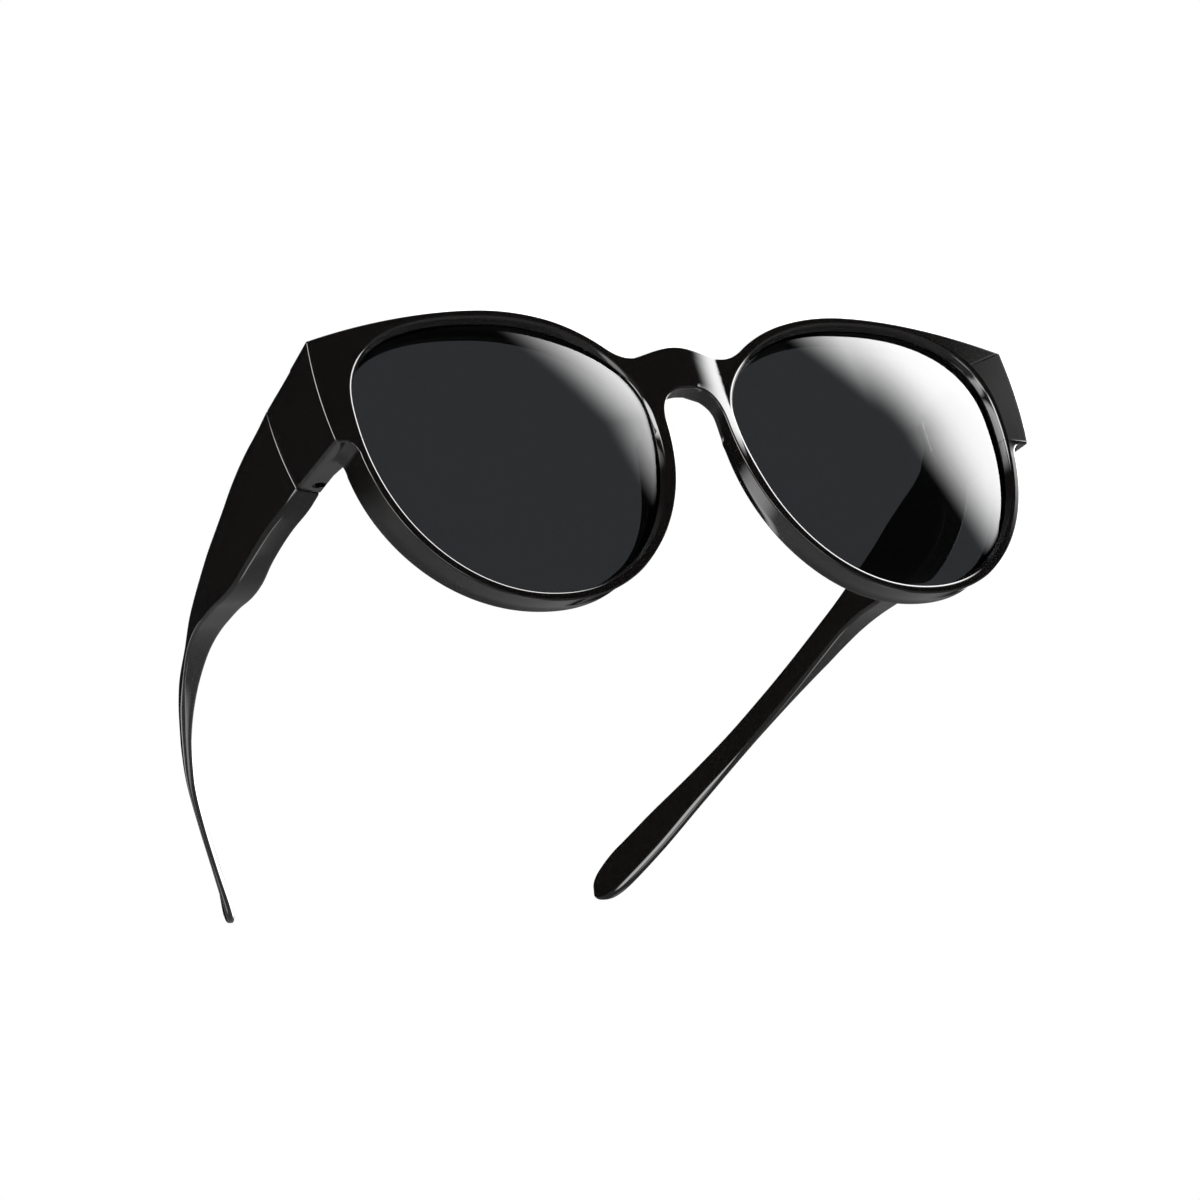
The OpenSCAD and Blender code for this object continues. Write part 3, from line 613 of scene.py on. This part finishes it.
def temple_curve(stations, s):
    """Smooth curve through the rows of stations at the shares s: cubic pieces whose slope at a
    station is the length-weighted mean of the slopes beside it."""
    knots = stations[:, 0]
    step = np.diff(knots)[:, None]
    slope = np.diff(stations, axis=0) / step
    mean = (slope[:-1] * step[1:] + slope[1:] * step[:-1]) / (step[1:] + step[:-1])
    tangent = np.concatenate([slope[:1], mean, slope[-1:]])
    i = np.clip(np.searchsorted(knots, s, side="right") - 1, 0, len(knots) - 2)
    h = step[i]
    v = ((s - knots[i])[:, None]) / h
    return ((1 + 2 * v) * (1 - v) ** 2 * stations[i] + v * (1 - v) ** 2 * h * tangent[i]
            + v * v * (3 - 2 * v) * stations[i + 1] + v * v * (v - 1) * h * tangent[i + 1])


# Shares of the length: round the seam's edge, along the arm and round the tip, where the
# height closes with a cosine and the thickness with its square root.
tip_turn = np.linspace(0, np.pi / 2, 15)
s = np.concatenate([seam_r * (1 - np.cos(seam_turn)) / temple_len,
                    np.linspace(0.008, tip_from, 110)[:-1],
                    tip_from + (1 - tip_from) * np.sin(tip_turn)])
shrink = np.zeros_like(s)
shrink[:len(seam_turn)] = seam_r * (1 - np.sin(seam_turn))
still_open = np.ones_like(s)
still_open[-len(tip_turn):] = np.maximum(np.cos(tip_turn), 0.02)
_, bow, sweep, drop, tall, paddle, thick, lean_out, lean_in, bevel_share = temple_curve(
    temple_stations, np.clip(s, 0, 1)).T
xo = seam_x - lean_seam + temple_bow * bow - temple_sweep * sweep
temple_t = mix(shaft_t, end_t, thick) * np.sqrt(still_open)
temple_h = (shaft_h + (seam_h - shaft_h) * tall + (paddle_h - shaft_h) * paddle) * still_open
middle_z = hinge_z - temple_drop * drop
wanted_r = mix(arm_r, temple_r, rise(s, 0, 0.06))
corner_r = np.minimum(np.minimum(wanted_r, temple_t / 3), temple_h / 3) - shrink / 2
temple_line = arm_sections(
    xo - temple_t + shrink, xo - shrink, middle_z - temple_h / 2 + shrink,
    middle_z + temple_h / 2 - shrink, corner_r, lean_seam * lean_out, lean_seam * lean_in,
    end_crown * np.maximum(0, tall * 2 - 1),
    np.minimum(temple_bevel * np.maximum(bevel_share, 0), temple_t / 2),
    paddle_facet * rise(s, 0.6, 0.8) * still_open)
# The first sections turn out of the seam plane.
along = (temple_len * s)[:, None]
squared = seam_y + seam_gap + along + 0 * temple_line[..., 0]
seamed = seam_at(temple_line[..., 0], temple_line[..., 1]) + seam_gap + along
temple_y = mix(squared, seamed, 1 - rise(s, 0, 0.04)[:, None])
temple = np.stack([temple_line[..., 0], temple_y, temple_line[..., 1]], -1)
# The pocket follows the bent leaf: straight to the seam, then along the inner face of the
# first stretch.
bend_row = temple_stations[2]
bend_x = seam_x - lean_seam + temple_bow * bend_row[1] - mix(shaft_t, end_t, bend_row[6])
inner_y = seam_at(inner_x, hinge_z)
leaf_bend = math.atan2(bend_x - inner_x, seam_y + seam_gap + temple_len * bend_row[0] - inner_y)
leaf_z, straight_len = knuckle_h / 2 + hinge_fit, 4.8


def leaf_slot(y0, y1, turn):
    """Two sections of a box round a leaf, from y0 to y1 along it, turned about the upright line
    where the seam meets the inner face."""
    c, s = math.cos(turn), math.sin(turn)
    x = np.array([-pocket_open, leaf_t + hinge_fit, leaf_t + hinge_fit, -pocket_open])
    y = np.array([y0, y0, y1, y1])
    line = np.stack([inner_x + x * c + y * s, inner_y - x * s + y * c], -1)
    return prism(line, hinge_z - leaf_z, hinge_z + leaf_z)


leaf_cuts = [leaf_slot(-straight_len, 0, 0),
             leaf_slot(-leaf_t * math.sin(leaf_bend), leaf_len + hinge_fit, leaf_bend)]
for side, name in ((1, "right"), (-1, "left")):
    piece = make_piece("temple_moulding_" + name, *closed_skin(temple), (side,))
    cutters = [make_piece("leaf_cut", *closed_skin(cut), (side,)) for cut in leaf_cuts]
    combine(piece, cutters, "DIFFERENCE")
    smooth(piece, 40)
    piece.data.materials.clear()
    piece.data.materials.append(black_plastic)
    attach(piece, "temple_arm_" + name)
    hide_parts("temple_" + name)

# The hinges: stamped and plated leaves with turned knuckles, heat-set in the mouldings, and a
# slotted steel screw as the pin of each.
plated = finish_with("plated hinge metal", marks, 0.2, 0.12, 0.15,
                     Base_Color=(0.66, 0.66, 0.68, 1), Metallic=1.0)
steel = finish_with("turned screw steel", marks, 0.26, 0.16, 0.1,
                    Base_Color=(0.56, 0.56, 0.58, 1), Metallic=1.0)
hinge_parts = (("front_hinge_", plated), ("temple_hinge_", plated), ("hinge_screw_", steel))
for name in ("right", "left"):
    for node, metal in hinge_parts:
        node_mesh = frame["nodes"][node + name].data
        node_mesh.materials.clear()
        node_mesh.materials.append(metal)

# The studio floor: a pale sheet under the pair. It shows from above only, because the pair is
# photographed from below its own level against plain white. The gloss of the undersides comes
# from the low part of the studio, not from this sheet.
floor_mesh = bpy.data.meshes.new("floor")
floor_mesh.from_pydata([(-3, -3, 0), (3, -3, 0), (3, 3, 0), (-3, 3, 0)], [], [(0, 1, 2, 3)])
floor = bpy.data.objects.new("floor", floor_mesh)
bpy.context.scene.collection.objects.link(floor)
floor.visible_glossy = False
floor.visible_shadow = False
paper = bpy.data.materials.new("pale paper")
paper.use_nodes = True
nodes, link = paper.node_tree.nodes, paper.node_tree.links.new
sheet = nodes["Principled BSDF"]
sheet.inputs["Base Color"].default_value = (0.86, 0.86, 0.86, 1)
sheet.inputs["Roughness"].default_value = 0.7
clear, side_seen, either = (
    nodes.new("ShaderNode" + k) for k in ("BsdfTransparent", "NewGeometry", "MixShader"))
link(side_seen.outputs["Backfacing"], either.inputs[0])
link(sheet.outputs["BSDF"], either.inputs[1])
link(clear.outputs["BSDF"], either.inputs[2])
link(either.outputs["Shader"], nodes["Material Output"].inputs["Surface"])
floor_mesh.materials.append(paper)

# The camera stands in front of the pair, to its left and below, as fitted to the photograph:
# its place and its three axes in the upright position, and its focal length in pixels of the
# 1200-pixel frame.
focal_px, frame_px, sensor_mm = 4019, 1200, 36
eye = np.array([-378.72, -532.73, -326.62])
right = np.array([0.86740, -0.42787, -0.25407])
up = np.array([0.01708, -0.48468, 0.87452])
ahead = np.array([0.49733, 0.76290, 0.41310])
camera = bpy.data.objects.new("camera", bpy.data.cameras.new("camera"))
bpy.context.scene.collection.objects.link(camera)
camera.data.sensor_width = sensor_mm
camera.data.lens = sensor_mm * focal_px / frame_px
camera.data.clip_start, camera.data.clip_end = 0.01, 20
turned = np.stack([tilt @ right, tilt @ up, -(tilt @ ahead)], 1)
camera.matrix_world = Matrix.Translation(Vector(stand(eye))) @ Matrix(turned.tolist()).to_4x4()
bpy.context.scene.camera = camera


# The studio: plain white to the camera and through the lenses, as behind a cut-out product
# photograph. What the polished faces mirror is a dark room with a large soft lamp high on the
# right, three small ones on the front left, two weak ones behind and a dim glow from below.
def soft_lamp():
    """Node group: strength of a round lamp in a direction of the sky, full inside the core and
    fading by a smooth step of the direction's cosine to the edge."""
    group = bpy.data.node_groups.new("soft lamp", "ShaderNodeTree")
    group.interface.new_socket("Towards", in_out="INPUT", socket_type="NodeSocketVector")
    for name in ("Edge cosine", "Core cosine", "Strength"):
        group.interface.new_socket(name, in_out="INPUT", socket_type="NodeSocketFloat")
    group.interface.new_socket("Strength", in_out="OUTPUT", socket_type="NodeSocketFloat")
    add, link = group.nodes.new, group.links.new
    inputs, outputs, sky = add("NodeGroupInput"), add("NodeGroupOutput"), add("ShaderNodeTexCoord")
    near, fade = add("ShaderNodeVectorMath"), add("ShaderNodeMapRange")
    near.operation, fade.interpolation_type = "DOT_PRODUCT", "SMOOTHSTEP"
    link(sky.outputs["Generated"], near.inputs[0])
    link(inputs.outputs["Towards"], near.inputs[1])
    link(near.outputs["Value"], fade.inputs["Value"])
    link(inputs.outputs["Edge cosine"], fade.inputs["From Min"])
    link(inputs.outputs["Core cosine"], fade.inputs["From Max"])
    link(inputs.outputs["Strength"], fade.inputs["To Max"])
    link(fade.outputs["Result"], outputs.inputs["Strength"])
    return group


world = bpy.data.worlds.new("studio")
bpy.context.scene.world = world
world.use_nodes = True
nodes, link = world.node_tree.nodes, world.node_tree.links.new
nodes.clear()
lamp_group = soft_lamp()
room_glow = 0.01
total = None
# Direction of the lamp, angles of its core and its edge in degrees, and strength.
for towards, core, far, strength in (((0.85, 0.1, 0.517), 32.3, 44.1, 14.0),
                                     ((0.176, 0.435, -0.883), 5, 16, 3.0),
                                     ((-0.25, 0.966, 0.07), 3, 10, 2.0),
                                     ((-0.79, -0.456, 0.41), 12, 23, 16.0),
                                     ((-0.93, -0.3, -0.2), 8, 17, 9.0),
                                     ((-0.58, -0.58, -0.57), 8, 20, 4.0),
                                     ((0, 0, -1), 85, 103, 0.34)):
    lamp = nodes.new("ShaderNodeGroup")
    lamp.node_tree = lamp_group
    lamp.inputs["Towards"].default_value = Vector(towards).normalized()
    lamp.inputs["Core cosine"].default_value = math.cos(math.radians(core))
    lamp.inputs["Edge cosine"].default_value = math.cos(math.radians(far))
    lamp.inputs["Strength"].default_value = strength
    plus = nodes.new("ShaderNodeMath")
    link(lamp.outputs["Strength"], plus.inputs[0])
    if total:
        link(total, plus.inputs[1])
    else:
        plus.inputs[1].default_value = room_glow
    total = plus.outputs[0]
seen, room, white, pick, out = (nodes.new("ShaderNode" + k) for k in (
    "LightPath", "Background", "Background", "MixShader", "OutputWorld"))
link(total, room.inputs["Strength"])
for backdrop in (room, white):
    backdrop.inputs["Color"].default_value = (1, 1, 1, 1)
shows_white = nodes.new("ShaderNodeMath")
shows_white.operation = "MAXIMUM"
link(seen.outputs["Is Camera Ray"], shows_white.inputs[0])
link(seen.outputs["Is Transmission Ray"], shows_white.inputs[1])
link(shows_white.outputs[0], pick.inputs[0])
link(room.outputs[0], pick.inputs[1])
link(white.outputs[0], pick.inputs[2])
link(pick.outputs[0], out.inputs["Surface"])
overhead = bpy.data.objects.new("overhead", bpy.data.lights.new("overhead", "AREA"))
overhead.data.size, overhead.data.energy = 1.6, 30
overhead.location = (0, 0.1, 1.6)
overhead.visible_glossy = False
bpy.context.scene.collection.objects.link(overhead)

bpy.context.scene.view_settings.view_transform = "Standard"
